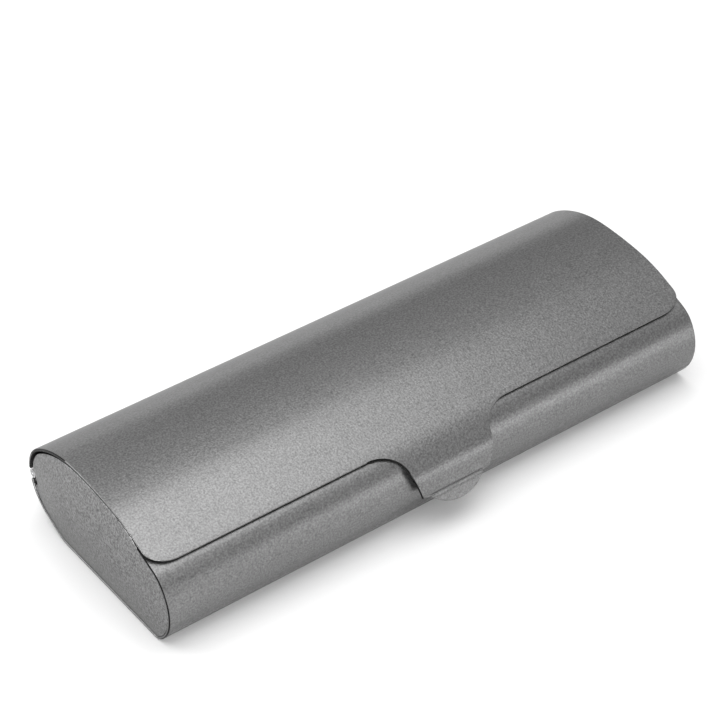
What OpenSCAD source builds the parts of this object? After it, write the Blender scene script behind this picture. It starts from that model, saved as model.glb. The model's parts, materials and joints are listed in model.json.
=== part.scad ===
// Slim hinged eyeglasses case, shown closed. Millimetres, +Z up.
// The case lies along X, its snap tongue faces -Y and its hinge faces +Y.
// The origin is the centre of the flat underside, which rests on the table.

/* [Overall] */
// Length of the case over the ends of its bent sheets
case_len = 160; // [150:1:175]
// Height of the crown of the lid above the table
case_h = 29.2; // [28.9:0.1:29.6]
// Thickness of the aluminium sheet
sheet_t = 0.7; // [0.6:0.05:0.75]

/* [Tongue and catch] */
// Half width of the tongue where it leaves the straight front edge
tongue_root = 21; // [18:0.5:28]
// Half width of the tongue at its crease
tongue_half = 10.3; // [8.5:0.1:11.5]
// Half width of the finger tab below the crease
tab_half = 8; // [6:0.5:8.5]
// Length of the finger tab down its slope
tab_len = 3.6; // [2.5:0.1:4]
// Largest radius of the pressed catch, at its open mouth
catch_r = 1.9; // [1.4:0.1:1.9]

/* [Lid edge] */
// Length of the rounded lid corners along the case
corner_x = 7; // [4:0.5:9]
// Depth of the rounded lid corners from the front edge
corner_y = 4.6; // [3:0.2:5.5]
// Depth of each dip in the hidden top edge of the front wall
wave = 2.1; // [0.5:0.1:2.1]

/* [Hinge] */
// Number of hinge knuckles, an odd number so both ends belong to the body
knuckles = 9; // [5:2:13]
// Radius of the hinge pin
pin_r = 0.6; // [0.5:0.05:0.6]
// Radial play between the pin and the knuckles
pin_play = 0.05; // [0.03:0.01:0.08]
// Number of rivets in each hinge leaf
rivets = 4; // [2:1:8]

/* [Lining] */
// Thickness of the flocked boards in the body
board_t = 1.0; // [0.6:0.1:1.2]
// Thickness of the flocked film in the lid
film_t = 0.15; // [0.1:0.05:0.2]

/* [Hidden] */
$fn = 64;
metal = [0.42, 0.42, 0.43];
steel = [0.75, 0.75, 0.76];
flock = [0.05, 0.05, 0.05];

// Play between fixed pieces that lie on each other, and around what moves.
skin_gap = 0.03;
run_gap = 0.35;

// Outer section of the lid: four tangent arcs, angles measured from straight up.
crown_y = 10.6;
top_r = 100.3;
top_a = 7.5;
brow_r = 42;
brow_a = 23;
back_r = 30.8;
back_a = 36.9;
rear_r = 11.66;
rear_a = 154.5;
top_c = [crown_y, case_h - top_r];
brow_c = top_c + (top_r - brow_r) * [-sin(top_a), cos(top_a)];
back_c = [crown_y, case_h - back_r];
rear_c = back_c + (back_r - rear_r) * [sin(back_a), cos(back_a)];
lid_flat = 8;

// Outer section of the body: a round front wall with a bent-in top, two floor folds.
wall_r = 13.1;
wall_c = [-12.84, 10.9];
wall_top_a = 55;
bend_r = 8.3;
bend_c = wall_c + (wall_r - bend_r) * [-sin(wall_top_a), cos(wall_top_a)];
wall_flat = 7.89;
fold_r = 2;
fold_a = acos((fold_r - wall_c[1]) / (wall_r - fold_r));
fold_c = wall_c + (wall_r - fold_r) * [-sin(fold_a), cos(fold_a)];
heel_r = 3;
heel_start = on_arc(rear_c, rear_r, rear_a, 1);
heel_run = (heel_start[1] - heel_r * (1 + cos(rear_a))) / sin(rear_a);
heel_c = heel_start + heel_run * [cos(rear_a), -sin(rear_a)] - heel_r * [sin(rear_a), cos(rear_a)];

// Hinge barrel in the gap between the lower lid edge and the upper body edge.
hinge_c = [32.85, 12.6];
knuckle_r = pin_r + pin_play + 0.55;
leaf_t = 0.5;
lid_end_a = 88.3;
body_end_a = 103.4;
lid_leaf_a = 46;
body_leaf_a = 146;
barrel_half = case_len / 2 - 0.3;
pitch = 2 * barrel_half / knuckles;
knuckle_gap = 0.3;
lid_leaf_half = case_len / 2 - 4;
lid_rivet_a = 64;
body_rivet_a = 127;
rivet_r = 0.8;
rivet_span = case_len - 28;
leaf_cover = sheet_t + leaf_t + 0.55;

// Pressed end caps: a plate with a short turned-in rim.
cap_recess = 0.2;
cap_face = case_len / 2 - cap_recess;
cap_rim = 2;
// Small cut-back of each cap under the end of the hinge barrel.
cutback_c = hinge_c + [-0.86, -1.73];
cutback_r = 0.85;
// Play between each cap and the lid that closes over it.
cap_gap = 0.55;
board_half = cap_face - cap_rim - 0.1;
film_half = cap_face - cap_rim - run_gap;

// Tongue: bends away from the wall, then a crease and the finger tab.
tongue_a = 43;
tongue_low_a = 77;
tab_a = 60;
bend1_r = 6;
bend2_r = 9;
slope_run = 3.76;
skirt_run = 3.7;
lid_edge = on_arc(brow_c, brow_r, brow_a, -1) + lid_flat * down(brow_a);
bend1_c = lid_edge + bend1_r * inward(brow_a);
bend2_top = on_arc(bend1_c, bend1_r, tongue_a, -1) + slope_run * down(tongue_a);
bend2_c = bend2_top + bend2_r * inward(tongue_a);
crease = on_arc(bend2_c, bend2_r, tongue_low_a, -1) + skirt_run * down(tongue_low_a);
crease_in = (inward(tongue_low_a) + inward(tab_a)) / (1 + inward(tongue_low_a) * inward(tab_a));
outline_a = 50;
root_up = (lid_edge - crease) * -down(outline_a);
neck_up = 7.1;
neck_half = tongue_half + 2.1;
tab_round = (tab_half * tab_half + tab_len * tab_len) / (2 * tab_len);
tab_arc = asin(tab_half / tab_round);

// Front-wall top edge, seen from above.
wave_y = -15.7;
wave_len = 88;

// Pressed catch: a hollow half cone, open at its lower end.
catch_top = [-24.3, 17.2];
catch_mouth = [-25.55, 10.9];
catch_tip_r = 0.3;
catch_wall = 0.7;

// Unit steps on the front side: down the outer surface, and into the sheet.
function down(a) = [-cos(a), -sin(a)];
function inward(a) = [sin(a), -cos(a)];

// Point and arc at angle a from straight up; side is -1 to the front, 1 to the rear.
function on_arc(c, r, a, side) = [c[0] + side * r * sin(a), c[1] + r * cos(a)];
function arc_step(r) = r > 40 ? 1.2 : r > 20 ? 2 : r > 4 ? 3 : 9;
function arc(c, r, a0, a1, side) =
  let (n = max(1, ceil(abs(a1 - a0) / arc_step(r))))
  [for (i = [0:n]) on_arc(c, r, a0 + (a1 - a0) * i / n, side)];
function joined(p) = [for (i = [0:len(p) - 1]) if (i == 0 || norm(p[i] - p[max(i - 1, 0)]) > 0.001) p[i]];
function backwards(p) = [for (i = [len(p) - 1:-1:0]) p[i]];
function band(outer, inner) = concat(joined(outer), backwards(joined(inner)));

// Paths at depth d below the outer surface.
function lid_edge_at(d) = on_arc(brow_c, brow_r - d, brow_a, -1) + lid_flat * down(brow_a);
function lid_over(d, end_a) = concat(
  arc(brow_c, brow_r - d, brow_a, top_a, -1),
  arc(top_c, top_r - d, top_a, 0, -1),
  arc(back_c, back_r - d, 0, back_a, 1),
  arc(rear_c, rear_r - d, back_a, end_a, 1));
function lid_path(d, end_a) = concat([lid_edge_at(d)], lid_over(d, end_a));
function wall_path(d, flat, low_a) = concat(
  [on_arc(bend_c, bend_r - d, brow_a, -1) - flat * down(brow_a)],
  arc(bend_c, bend_r - d, brow_a, wall_top_a, -1),
  arc(wall_c, wall_r - d, wall_top_a, low_a, -1));
function body_path(d, flat, end_a) = concat(
  wall_path(d, flat, fold_a),
  arc(fold_c, fold_r - d, fold_a, 180, -1),
  arc(heel_c, heel_r - d, 180, rear_a, 1),
  arc(rear_c, rear_r - d, rear_a, end_a, 1));
function tongue_path(d, upto) = concat(
  arc(bend1_c, bend1_r - d, brow_a, tongue_a, -1),
  arc(bend2_c, bend2_r - d, tongue_a, tongue_low_a, -1),
  upto == "tab" ? [crease + d * crease_in,
                   crease + (tab_len + 0.6) * down(tab_a) + d * inward(tab_a)] : []);
function wave_edge(x) = wave_y + wave * cos(360 * x / wave_len);

// Stretch of length l along X from x0, with a section drawn in Y and Z.
module section(x0, l) {
  translate([x0, 0, 0]) rotate([90, 0, 90]) linear_extrude(l) children();
}

// Local Z points out of the rear wall at angle a, from the centre of its curve.
module on_rear(a, x) {
  translate([x, rear_c[0], rear_c[1]]) rotate([-a, 0, 0]) children();
}

// Region behind the wavy top edge of the front wall, seen from above.
module behind_wave(back) {
  points = [for (x = [-case_len / 2 - 2:2:case_len / 2 + 2]) [x, wave_edge(x) - back]];
  translate([0, 0, 15])
    linear_extrude(15)
      polygon(concat(points, [[case_len / 2 + 2, -8], [-case_len / 2 - 2, -8]]));
}

module rivet_holes(a) {
  for (i = [0:rivets - 1])
    on_rear(a, rivet_x(i))
      translate([0, 0, rear_r - 3])
        cylinder(r = rivet_r + 0.02, h = 4);
}

function rivet_x(i) = -rivet_span / 2 + i * rivet_span / (rivets - 1);

// Rivet with a low domed head outside and a flat closing head inside the leaf.
module rivet_row(a) {
  head_h = 0.5;
  tail_top = rear_r - sheet_t - leaf_t - skin_gap - 0.1;
  for (i = [0:rivets - 1])
    on_rear(a, rivet_x(i))
      rotate_extrude()
        polygon(concat(
          [[0, tail_top - 0.35], [1.3, tail_top - 0.35], [1.3, tail_top], [rivet_r, tail_top],
           [rivet_r, rear_r], [1.5, rear_r]],
          [for (b = [15:15:90]) [1.5 * cos(b), rear_r + head_h * sin(b)]]));
}

// Cone of the catch, running down the front wall to its mouth.
module catch_cone(shrink, extra) {
  run = norm(catch_top - catch_mouth);
  lean = atan2(catch_top[0] - catch_mouth[0], catch_top[1] - catch_mouth[1]);
  translate([0, catch_mouth[0], catch_mouth[1]])
    rotate([-lean, 0, 0])
      translate([0, 0, -extra])
        cylinder(r1 = catch_r - shrink, r2 = max(catch_tip_r - shrink, 0.05), h = run + extra - shrink);
}

// Space in front of the middle of the wall sheet, where the catch stands out.
module front_of_wall() {
  section(-5, 10)
    polygon(concat(arc(wall_c, wall_r - sheet_t / 2, 55, 100, -1), [[-32, 8.6], [-32, 19]]));
}

module body_shell() {
  color(metal)
    difference() {
      union() {
        difference() {
          section(-case_len / 2, case_len)
            polygon(band(body_path(0, wall_flat, body_end_a),
                         body_path(sheet_t, wall_flat, body_end_a)));
          behind_wave(0);
          rivet_holes(body_rivet_a);
        }
        intersection() {
          catch_cone(0, 0);
          front_of_wall();
        }
      }
      catch_cone(catch_wall, 0.5);
    }
}

// Outline of the end cap, shrunk by an extra depth for the inside of its rim.
// The bite widens the notch that clears the hinge barrel.
module cap_outline(extra, bite) {
  d_body = sheet_t + skin_gap + extra;
  d_lid = sheet_t + cap_gap + extra;
  difference() {
    polygon(joined(concat(
      body_path(d_body, wall_flat - 0.7 - extra, body_end_a),
      backwards(lid_over(d_lid, lid_end_a)))));
    translate(hinge_c) circle(r = knuckle_r + 0.15 + bite);
  }
}

module end_cap() {
  difference() {
    section(cap_face - cap_rim, cap_rim) cap_outline(0, 0);
    section(cap_face - cap_rim - 1, cap_rim + 1 - sheet_t) cap_outline(sheet_t, sheet_t);
    section(cap_face - cap_rim - 1, cap_rim + 2) translate(cutback_c) circle(r = cutback_r);
  }
}

module end_cap_right() {
  color(metal) end_cap();
}

module end_cap_left() {
  color(metal) mirror([1, 0, 0]) end_cap();
}

module end_lining() {
  section(cap_face - cap_rim, cap_rim - sheet_t - skin_gap) cap_outline(sheet_t + skin_gap, sheet_t + skin_gap);
}

module right_end_lining() {
  color(flock) end_lining();
}

module left_end_lining() {
  color(flock) mirror([1, 0, 0]) end_lining();
}

// Knuckle ring with the web that joins it to its leaf; up is 1 for the lid leaf.
module knuckle(i, up) {
  x0 = -barrel_half + i * pitch + (i == 0 ? 0 : knuckle_gap / 2);
  x1 = -barrel_half + (i + 1) * pitch - (i == knuckles - 1 ? 0 : knuckle_gap / 2);
  web_y = up > 0 ? -0.35 : -0.64;
  section(x0, x1 - x0)
    difference() {
      circle_at(knuckle_r);
      circle_at(pin_r + pin_play);
    }
  intersection() {
    section(x0, x1 - x0)
      translate([hinge_c[0] + web_y, hinge_c[1] + (up > 0 ? 0.85 : -1.5)])
        square([0.45, 0.65]);
    section(-board_half, 2 * board_half) translate([20, 0]) square([20, 30]);
  }
}

module circle_at(r) {
  translate(hinge_c) circle(r = r);
}

module body_hinge_leaf() {
  inner = sheet_t + skin_gap;
  color(steel)
    difference() {
      union() {
        section(-board_half, 2 * board_half)
          polygon(band(arc(rear_c, rear_r - inner, body_leaf_a, body_end_a, 1),
                       arc(rear_c, rear_r - inner - leaf_t, body_leaf_a, body_end_a, 1)));
        for (i = [0:2:knuckles - 1]) knuckle(i, -1);
      }
      rivet_holes(body_rivet_a);
    }
}

module lid_hinge_leaf() {
  inner = sheet_t + skin_gap;
  color(steel)
    difference() {
      union() {
        section(-lid_leaf_half, 2 * lid_leaf_half)
          polygon(band(arc(rear_c, rear_r - inner, lid_leaf_a, lid_end_a, 1),
                       arc(rear_c, rear_r - inner - leaf_t, lid_leaf_a, lid_end_a, 1)));
        for (i = [1:2:knuckles - 1]) knuckle(i, 1);
      }
      rivet_holes(lid_rivet_a);
    }
}

module hinge_pin() {
  color(steel)
    translate([-barrel_half - 0.2, hinge_c[0], hinge_c[1]])
      rotate([0, 90, 0])
        cylinder(r = pin_r, h = 2 * barrel_half + 0.4);
}

module body_rivets() {
  color(steel) rivet_row(body_rivet_a);
}

module lid_rivets() {
  color(steel) rivet_row(lid_rivet_a);
}

module floor_lining() {
  front_y = fold_c[0] + 0.1;
  color(flock)
    translate([-board_half, front_y, sheet_t + skin_gap])
      cube([2 * board_half, heel_c[0] - 0.2 - front_y, board_t]);
}

module front_lining() {
  outer = sheet_t + skin_gap;
  color(flock)
    difference() {
      section(-board_half, 2 * board_half)
        polygon(band(wall_path(outer, wall_flat, fold_a - 3),
                     wall_path(outer + board_t, wall_flat, fold_a - 3)));
      behind_wave(0.8);
    }
}

// The board behind the glasses steps inward to pass over the hinge leaf.
module back_lining() {
  outer = sheet_t + skin_gap;
  color(flock)
    section(-board_half, 2 * board_half)
      polygon(band(
        concat([on_arc(heel_c, heel_r - outer, rear_a, 1)],
               arc(rear_c, rear_r - outer, rear_a, body_leaf_a + 3, 1),
               arc(rear_c, rear_r - leaf_cover, body_leaf_a, body_end_a + 4, 1)),
        concat([on_arc(heel_c, heel_r - outer - board_t, rear_a, 1)],
               arc(rear_c, rear_r - outer - board_t, rear_a, body_leaf_a + 5, 1),
               arc(rear_c, rear_r - leaf_cover - board_t, body_leaf_a + 2, body_end_a + 4, 1))));
}

// Outside of the rounded front corner of the lid, seen from above.
module lid_corner_cut() {
  x0 = case_len / 2 - corner_x;
  y0 = lid_edge[0] + corner_y;
  translate([0, 0, 15])
    linear_extrude(15)
      polygon(concat(
        [for (a = [0:6:90]) [x0 + corner_x * sin(a), y0 - corner_y * cos(a)]],
        [[case_len / 2 + 2, y0], [case_len / 2 + 2, lid_edge[0] - 2], [x0, lid_edge[0] - 2]]));
}

// Outline of the tongue and its finger tab, square to the slope of the tongue.
module tongue_outline(shrink) {
  right = concat(
    [for (a = [0:6:90]) [tongue_root - (tongue_root - neck_half) * sin(a) - shrink,
                         neck_up + (root_up - neck_up) * cos(a)]],
    [[tongue_half - shrink, 0], [tab_half - shrink, 0]],
    [for (a = [tab_arc - 4:-4:0]) [tab_round * sin(a), tab_round - tab_len - tab_round * cos(a)]]);
  left = [for (p = backwards(right)) [-p[0], p[1]]];
  translate([0, crease[0], crease[1]])
    rotate([outline_a, 0, 0])
      translate([0, 0, -6])
        linear_extrude(16)
          polygon(joined(concat(right, left, [[-tongue_root + shrink, root_up + 3],
                                              [tongue_root - shrink, root_up + 3]])));
}

module lid_shell() {
  color(metal)
    difference() {
      union() {
        difference() {
          section(-case_len / 2, case_len)
            polygon(band(lid_path(0, lid_end_a), lid_path(sheet_t, lid_end_a)));
          lid_corner_cut();
          mirror([1, 0, 0]) lid_corner_cut();
        }
        intersection() {
          section(-tongue_root - 2, 2 * tongue_root + 4)
            polygon(band(tongue_path(0, "tab"), tongue_path(sheet_t, "tab")));
          tongue_outline(0);
        }
      }
      rivet_holes(lid_rivet_a);
    }
}

// Thin flocked film, kept inside the rounded corners and stepped over the hinge leaf.
module lid_lining() {
  outer = sheet_t + skin_gap;
  color(flock)
    difference() {
      section(-film_half, 2 * film_half)
        polygon(band(
          concat([lid_edge_at(outer) - 0.5 * down(brow_a)], lid_over(outer, lid_leaf_a - 5),
                 arc(rear_c, rear_r - leaf_cover, lid_leaf_a - 2, lid_end_a - 2, 1)),
          concat([lid_edge_at(outer + film_t) - 0.5 * down(brow_a)],
                 lid_over(outer + film_t, lid_leaf_a - 6),
                 arc(rear_c, rear_r - leaf_cover - film_t, lid_leaf_a - 3, lid_end_a - 2, 1))));
      lid_corner_cut();
      mirror([1, 0, 0]) lid_corner_cut();
    }
}

module tongue_lining() {
  outer = sheet_t + skin_gap;
  color(flock)
    intersection() {
      section(-tongue_root - 2, 2 * tongue_root + 4)
        polygon(band(tongue_path(outer, "bend"), tongue_path(outer + film_t, "bend")));
      tongue_outline(0.8);
    }
}

body_shell();
end_cap_left();
end_cap_right();
body_hinge_leaf();
hinge_pin();
body_rivets();
floor_lining();
front_lining();
back_lining();
left_end_lining();
right_end_lining();
lid_shell();
lid_hinge_leaf();
lid_rivets();
lid_lining();
tongue_lining();
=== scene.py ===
import json
import math

import bpy
import numpy as np
from mathutils import Matrix, Vector
from mathutils.geometry import delaunay_2d_cdt


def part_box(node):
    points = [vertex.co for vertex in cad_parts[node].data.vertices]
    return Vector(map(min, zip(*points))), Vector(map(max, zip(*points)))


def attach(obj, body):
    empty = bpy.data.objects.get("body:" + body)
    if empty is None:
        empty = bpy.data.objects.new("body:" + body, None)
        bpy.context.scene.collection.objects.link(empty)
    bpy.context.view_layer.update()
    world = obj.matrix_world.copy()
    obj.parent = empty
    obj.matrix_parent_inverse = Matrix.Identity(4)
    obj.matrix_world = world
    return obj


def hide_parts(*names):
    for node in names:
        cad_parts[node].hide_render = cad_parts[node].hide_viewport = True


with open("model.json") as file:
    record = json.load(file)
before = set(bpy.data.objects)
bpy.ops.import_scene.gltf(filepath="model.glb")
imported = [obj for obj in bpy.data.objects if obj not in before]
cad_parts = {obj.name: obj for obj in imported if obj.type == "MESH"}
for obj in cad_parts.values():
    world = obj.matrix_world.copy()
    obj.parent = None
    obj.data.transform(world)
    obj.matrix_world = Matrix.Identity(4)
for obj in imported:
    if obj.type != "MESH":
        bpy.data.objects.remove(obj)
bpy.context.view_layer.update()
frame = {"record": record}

# Sizes are in millimetres, as in the CAD, and MM turns them into metres.
MM = 0.001
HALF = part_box("lid_shell")[1][0] / MM
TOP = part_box("lid_shell")[1][2] / MM
JOINT = frame["record"]["behaviour"]["joints"][0]
AXIS = np.array(JOINT["pos_m"][1:]) / MM
SHEET = 0.7
FIT = 0.03
LID = "lid"
BODY = "case_body"
CAP_PIECES, FLOCK_PIECES, STEEL_PIECES = [], [], []
# Material numbers of the two sheets' faces. The last of them is painted shade: a near-black rim
# that stands in for the shadow in the gaps between parts.
OUTER, CUT, INNER, PAINTED_SHADE = range(4)

# The case's section: radii of its arcs, and where they meet, in degrees from straight up.
CROWN_Y = 10.6
TOP_R, BROW_R, BACK_R, REAR_R = 100.3, 42, 30.8, 11.66
TOP_A, BROW_A, BACK_A, REAR_A = 7.5, 23, 36.9, 154.5
WALL_R, WALL_BEND_R, FOLD_R, HEEL_R = 13.1, 8.3, 2, 3
WALL_C = np.array([-12.84, 10.9])
WALL_TOP_A = 55
LID_FLAT, WALL_FLAT = 8, 7.89
LID_END_A, BODY_END_A = 88.3, 103.4

# Tongue and finger tab: slopes, runs between bends, half widths, and length of the tab.
TONGUE_A, TONGUE_LOW_A, TAB_A, OUTLINE_A = 43, 77, 60, 50
SLOPE_RUN, SKIRT_RUN, TAB_RUN = 3.76, 3.6, 4.2
ROOT_HALF, NECK_IN, TONGUE_HALF, TAB_HALF, NECK_UP, TAB = 21, 8.6, 10.3, 8, 7.1, 3.6

# Rounded front corners of the lid, along the case and down the slope, and the small radii at
# the rear corners of both sheets and at the tab.
CORNER_X, CORNER_Y, SMALL_R = 7, 4.6, 0.5

# The front wall's top edge is a cosine: its mean place in Y, its depth and its length.
WAVE_Y, WAVE_DEPTH, WAVE_LEN = -15.7, 2.1, 88

# Catch: heights of its top and of its open mouth, its depth, half its width at the top and how
# much that grows, and the lip below its mouth. Bead: its angle, height and width.
CATCH_TOP, CATCH_MOUTH, CATCH_DEPTH = 17.2, 10.7, 1.5
CATCH_HALF, CATCH_GROWS, CATCH_LIP = 0.6, 1.85, 0.12
BEAD_A, BEAD_H, BEAD_W = 115, 0.15, 0.24


# ---------------------------------------------------------------- sections

def normal(a):
    """Outward direction in Y and Z at angle a (degrees) from straight up, rear positive."""
    a = np.radians(a)
    return np.stack([np.sin(a), np.cos(a)], -1)


def onward(a):
    """Direction of travel along a path at angle a: over the top towards the front."""
    a = np.radians(a)
    return np.stack([-np.cos(a), np.sin(a)], -1)


class Path:
    """A chain of tangent arcs and straight runs in Y and Z. s is the length along it."""

    def __init__(self, start, a):
        self.points = [np.array(start, float)]
        self.angles = [float(a)]
        self.kinds = []
        self.marks = [0.0]

    def arc(self, r, a1):
        """Add an arc of radius r that ends at angle a1."""
        p, a0 = self.points[-1], self.angles[-1]
        r_signed = r if a1 < a0 else -r
        centre = p - r_signed * normal(a0)
        self.kinds.append(("arc", centre, r_signed))
        self._add(centre + r_signed * normal(a1), a1, r * math.radians(abs(a1 - a0)))
        return self

    def line(self, length):
        """Add a straight run."""
        p, a = self.points[-1], self.angles[-1]
        self.kinds.append(("line", p, 0.0))
        self._add(p + length * onward(a), a, length)
        return self

    def _add(self, p, a, length):
        self.points.append(np.array(p))
        self.angles.append(a)
        self.marks.append(self.marks[-1] + length)

    def at(self, s):
        """Position and angle at length s (arrays)."""
        s = np.asarray(s, float)
        pos = np.zeros(s.shape + (2,))
        ang = np.zeros(s.shape)
        last = len(self.kinds) - 1
        seg = np.clip(np.searchsorted(self.marks, s, side="right") - 1, 0, last)
        for k, (kind, base, r) in enumerate(self.kinds):
            m = seg == k
            if not m.any():
                continue
            t = s[m] - self.marks[k]
            a0 = self.angles[k]
            if kind == "arc":
                a = a0 - np.degrees(t / r)
                pos[m] = base + r * normal(a)
                ang[m] = a
            else:
                pos[m] = base + t[:, None] * onward(a0)
                ang[m] = a0
        return pos, ang

    def rows(self, s0, s1, sag=0.002, longest=1.5):
        """Lengths from s0 to s1 that keep each chord within sag of the curve."""
        out = [s0]
        for k, (kind, _, r) in enumerate(self.kinds):
            a, b = max(self.marks[k], s0), min(self.marks[k + 1], s1)
            if b - a < 1e-6:
                continue
            step = min(longest, math.sqrt(8 * abs(r) * sag)) if kind == "arc" else longest
            n = max(1, math.ceil((b - a) / step))
            out += list(a + (b - a) * np.arange(1, n + 1) / n)
        return np.array(out)


# Outer surface of the lid, from the hinge over the crown to the tip of the finger tab.
# The bend into the tongue is drawn out over TONGUE_BEND_R, where the CAD has CAD_BEND_R, so it
# starts EARLY above the straight edge.
TONGUE_BEND_R, CAD_BEND_R, LOW_BEND_R, CREASE_R = 20, 6, 9, 0.7
EARLY = (TONGUE_BEND_R - CAD_BEND_R) * math.tan(math.radians((TONGUE_A - BROW_A) / 2))
REAR_C = np.array([CROWN_Y, TOP - BACK_R]) + (BACK_R - REAR_R) * normal(BACK_A)
lid_path = (Path(REAR_C + REAR_R * normal(LID_END_A), LID_END_A)
            .arc(REAR_R, BACK_A).arc(BACK_R, 0).arc(TOP_R, -TOP_A).arc(BROW_R, -BROW_A)
            .line(LID_FLAT - EARLY))
S_EDGE = lid_path.marks[-1] + EARLY
(lid_path.arc(TONGUE_BEND_R, -TONGUE_A).line(SLOPE_RUN - EARLY)
 .arc(LOW_BEND_R, -TONGUE_LOW_A).line(SKIRT_RUN))
S_CREASE = lid_path.marks[-1] + 0.1
lid_path.arc(CREASE_R, -TAB_A).line(TAB_RUN)

# Outer surface of the body, from the top of the front wall round the floor to the hinge.
BEND_C = WALL_C + (WALL_R - WALL_BEND_R) * normal(-WALL_TOP_A)
FOLD_A = -math.degrees(math.acos((FOLD_R - WALL_C[1]) / (WALL_R - FOLD_R)))
FOLD_C = WALL_C + (WALL_R - FOLD_R) * normal(FOLD_A)
COS_REAR, SIN_REAR = math.cos(math.radians(REAR_A)), math.sin(math.radians(REAR_A))
HEEL_START = REAR_C + REAR_R * normal(REAR_A)
HEEL_RUN = (HEEL_START[1] - HEEL_R * (1 + COS_REAR)) / SIN_REAR
HEEL_C = HEEL_START + HEEL_RUN * np.array([COS_REAR, -SIN_REAR]) - HEEL_R * normal(REAR_A)
WALL_TOP = BEND_C + WALL_BEND_R * normal(-BROW_A) - WALL_FLAT * onward(-BROW_A)
body_path = (Path(WALL_TOP, -BROW_A).line(WALL_FLAT).arc(WALL_BEND_R, -WALL_TOP_A)
             .arc(WALL_R, FOLD_A).arc(FOLD_R, -180).line(HEEL_C[0] - FOLD_C[0])
             .arc(HEEL_R, REAR_A - 360).line(HEEL_RUN).arc(REAR_R, BODY_END_A - 360))
S_FLAT, S_FRONT, S_FOLD, S_FLOOR, S_WALL, S_END = (body_path.marks[k] for k in (1, 3, 4, 5, 7, 8))


def wave(x):
    """Depth of the front wall's wavy top edge below the top of its path."""
    y = WAVE_Y + WAVE_DEPTH * np.cos(2 * np.pi * np.asarray(x, float) / WAVE_LEN)
    return (WALL_TOP[0] - y) / math.cos(math.radians(BROW_A))


# ---------------------------------------------------------------- mesh building

def rounded(points, radii, steps=5):
    """Polygon with some corners replaced by small arcs."""
    points = [np.array(p, float) for p in points]
    out = []
    for i, p in enumerate(points):
        r = radii[i]
        if not r:
            out.append(p)
            continue
        u = points[i - 1] - p
        v = points[(i + 1) % len(points)] - p
        lu, lv = np.linalg.norm(u), np.linalg.norm(v)
        u, v = u / lu, v / lv
        half = math.acos(np.clip(np.dot(u, v), -1, 1)) / 2
        cut = min(r / math.tan(half), 0.45 * lu, 0.45 * lv)
        a, b = p + cut * u, p + cut * v
        for k in range(steps + 1):
            t = k / steps
            out.append((1 - t) ** 2 * a + 2 * t * (1 - t) * p + t * t * b)
    return np.array(out)


def resampled(loop, step):
    """Closed polygon with long sides split so that none is longer than step."""
    out = []
    n = len(loop)
    for i in range(n):
        a, b = loop[i], loop[(i + 1) % n]
        m = max(1, math.ceil(np.linalg.norm(b - a) / step))
        out += [a + (b - a) * k / m for k in range(m)]
    return np.array(out)


def outward(loop):
    """Mitred outward direction at each corner of an anticlockwise polygon."""
    before = loop - np.roll(loop, 1, 0)
    after = np.roll(loop, -1, 0) - loop
    n0 = np.stack([before[:, 1], -before[:, 0]], 1) / np.linalg.norm(before, axis=1)[:, None]
    n1 = np.stack([after[:, 1], -after[:, 0]], 1) / np.linalg.norm(after, axis=1)[:, None]
    both = n0 + n1
    unit = both / np.linalg.norm(both, axis=1)[:, None]
    return unit / np.maximum((unit * n0).sum(1), 0.4)[:, None]


def inside(loop, pts):
    """Which points lie inside a polygon."""
    hit = np.zeros(len(pts), bool)
    x, y = pts[:, 0], pts[:, 1]
    for a, b in zip(loop, np.roll(loop, -1, 0)):
        cross = (a[1] > y) != (b[1] > y)
        if cross.any():
            xi = a[0] + (y - a[1]) * (b[0] - a[0]) / ((b[1] - a[1]) or 1e-12)
            hit ^= cross & (x < xi)
    return hit


def gap_to(loop, pts):
    """Distance of each point from a closed polygon's outline."""
    best = np.full(len(pts), 1e9)
    for a, b in zip(loop, np.roll(loop, -1, 0)):
        d = b - a
        t = np.clip(((pts - a) @ d) / max(d @ d, 1e-12), 0, 1)
        best = np.minimum(best, np.linalg.norm(pts - a - t[:, None] * d, axis=1))
    return best


def fill(loop, holes, pts, margin):
    """Triangles over a polygon with holes, using interior points kept off its edges.
    Returns the points (loop, holes, interior) and the triangles."""
    keep = inside(loop, pts) & (gap_to(loop, pts) > margin)
    for h in holes:
        keep &= ~inside(h, pts) & (gap_to(h, pts) > margin)
    loops = [loop] + list(holes)
    verts = np.concatenate(loops + [pts[keep]])
    edges, start = [], 0
    for lp in loops:
        n = len(lp)
        edges += [(start + i, start + (i + 1) % n) for i in range(n)]
        start += n
    got = delaunay_2d_cdt([Vector(v) for v in verts], edges, [], 1, 1e-6, True)
    source = [o[0] if o else -1 for o in got[3]]
    tris = np.array([[source[i] for i in f] for f in got[2]])
    tris = tris[(tris >= 0).all(1)]
    mid = verts[tris].mean(1)
    good = inside(loop, mid)
    for h in holes:
        good &= ~inside(h, mid)
    tris = tris[good]
    p = verts[tris]
    turn = ((p[:, 1, 0] - p[:, 0, 0]) * (p[:, 2, 1] - p[:, 0, 1])
            - (p[:, 1, 1] - p[:, 0, 1]) * (p[:, 2, 0] - p[:, 0, 0]))
    tris[turn < 0] = tris[turn < 0][:, ::-1]
    return verts, tris[np.abs(turn) > 1e-9]


def make_object(name, verts, faces, normals=None, material_index=None):
    """Mesh object from millimetre coordinates, smooth shaded, with set normals if given."""
    mesh = bpy.data.meshes.new(name)
    mesh.from_pydata([tuple(v) for v in np.asarray(verts) * MM], [],
                     [tuple(map(int, f)) for f in faces])
    if material_index is not None:
        mesh.polygons.foreach_set("material_index", np.asarray(material_index, np.int32))
    mesh.polygons.foreach_set("use_smooth", np.ones(len(mesh.polygons), bool))
    mesh.update()
    if normals is not None:
        mesh.normals_split_custom_set_from_vertices([tuple(n) for n in normals])
    obj = bpy.data.objects.new(name, mesh)
    bpy.context.scene.collection.objects.link(obj)
    return obj


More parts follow.
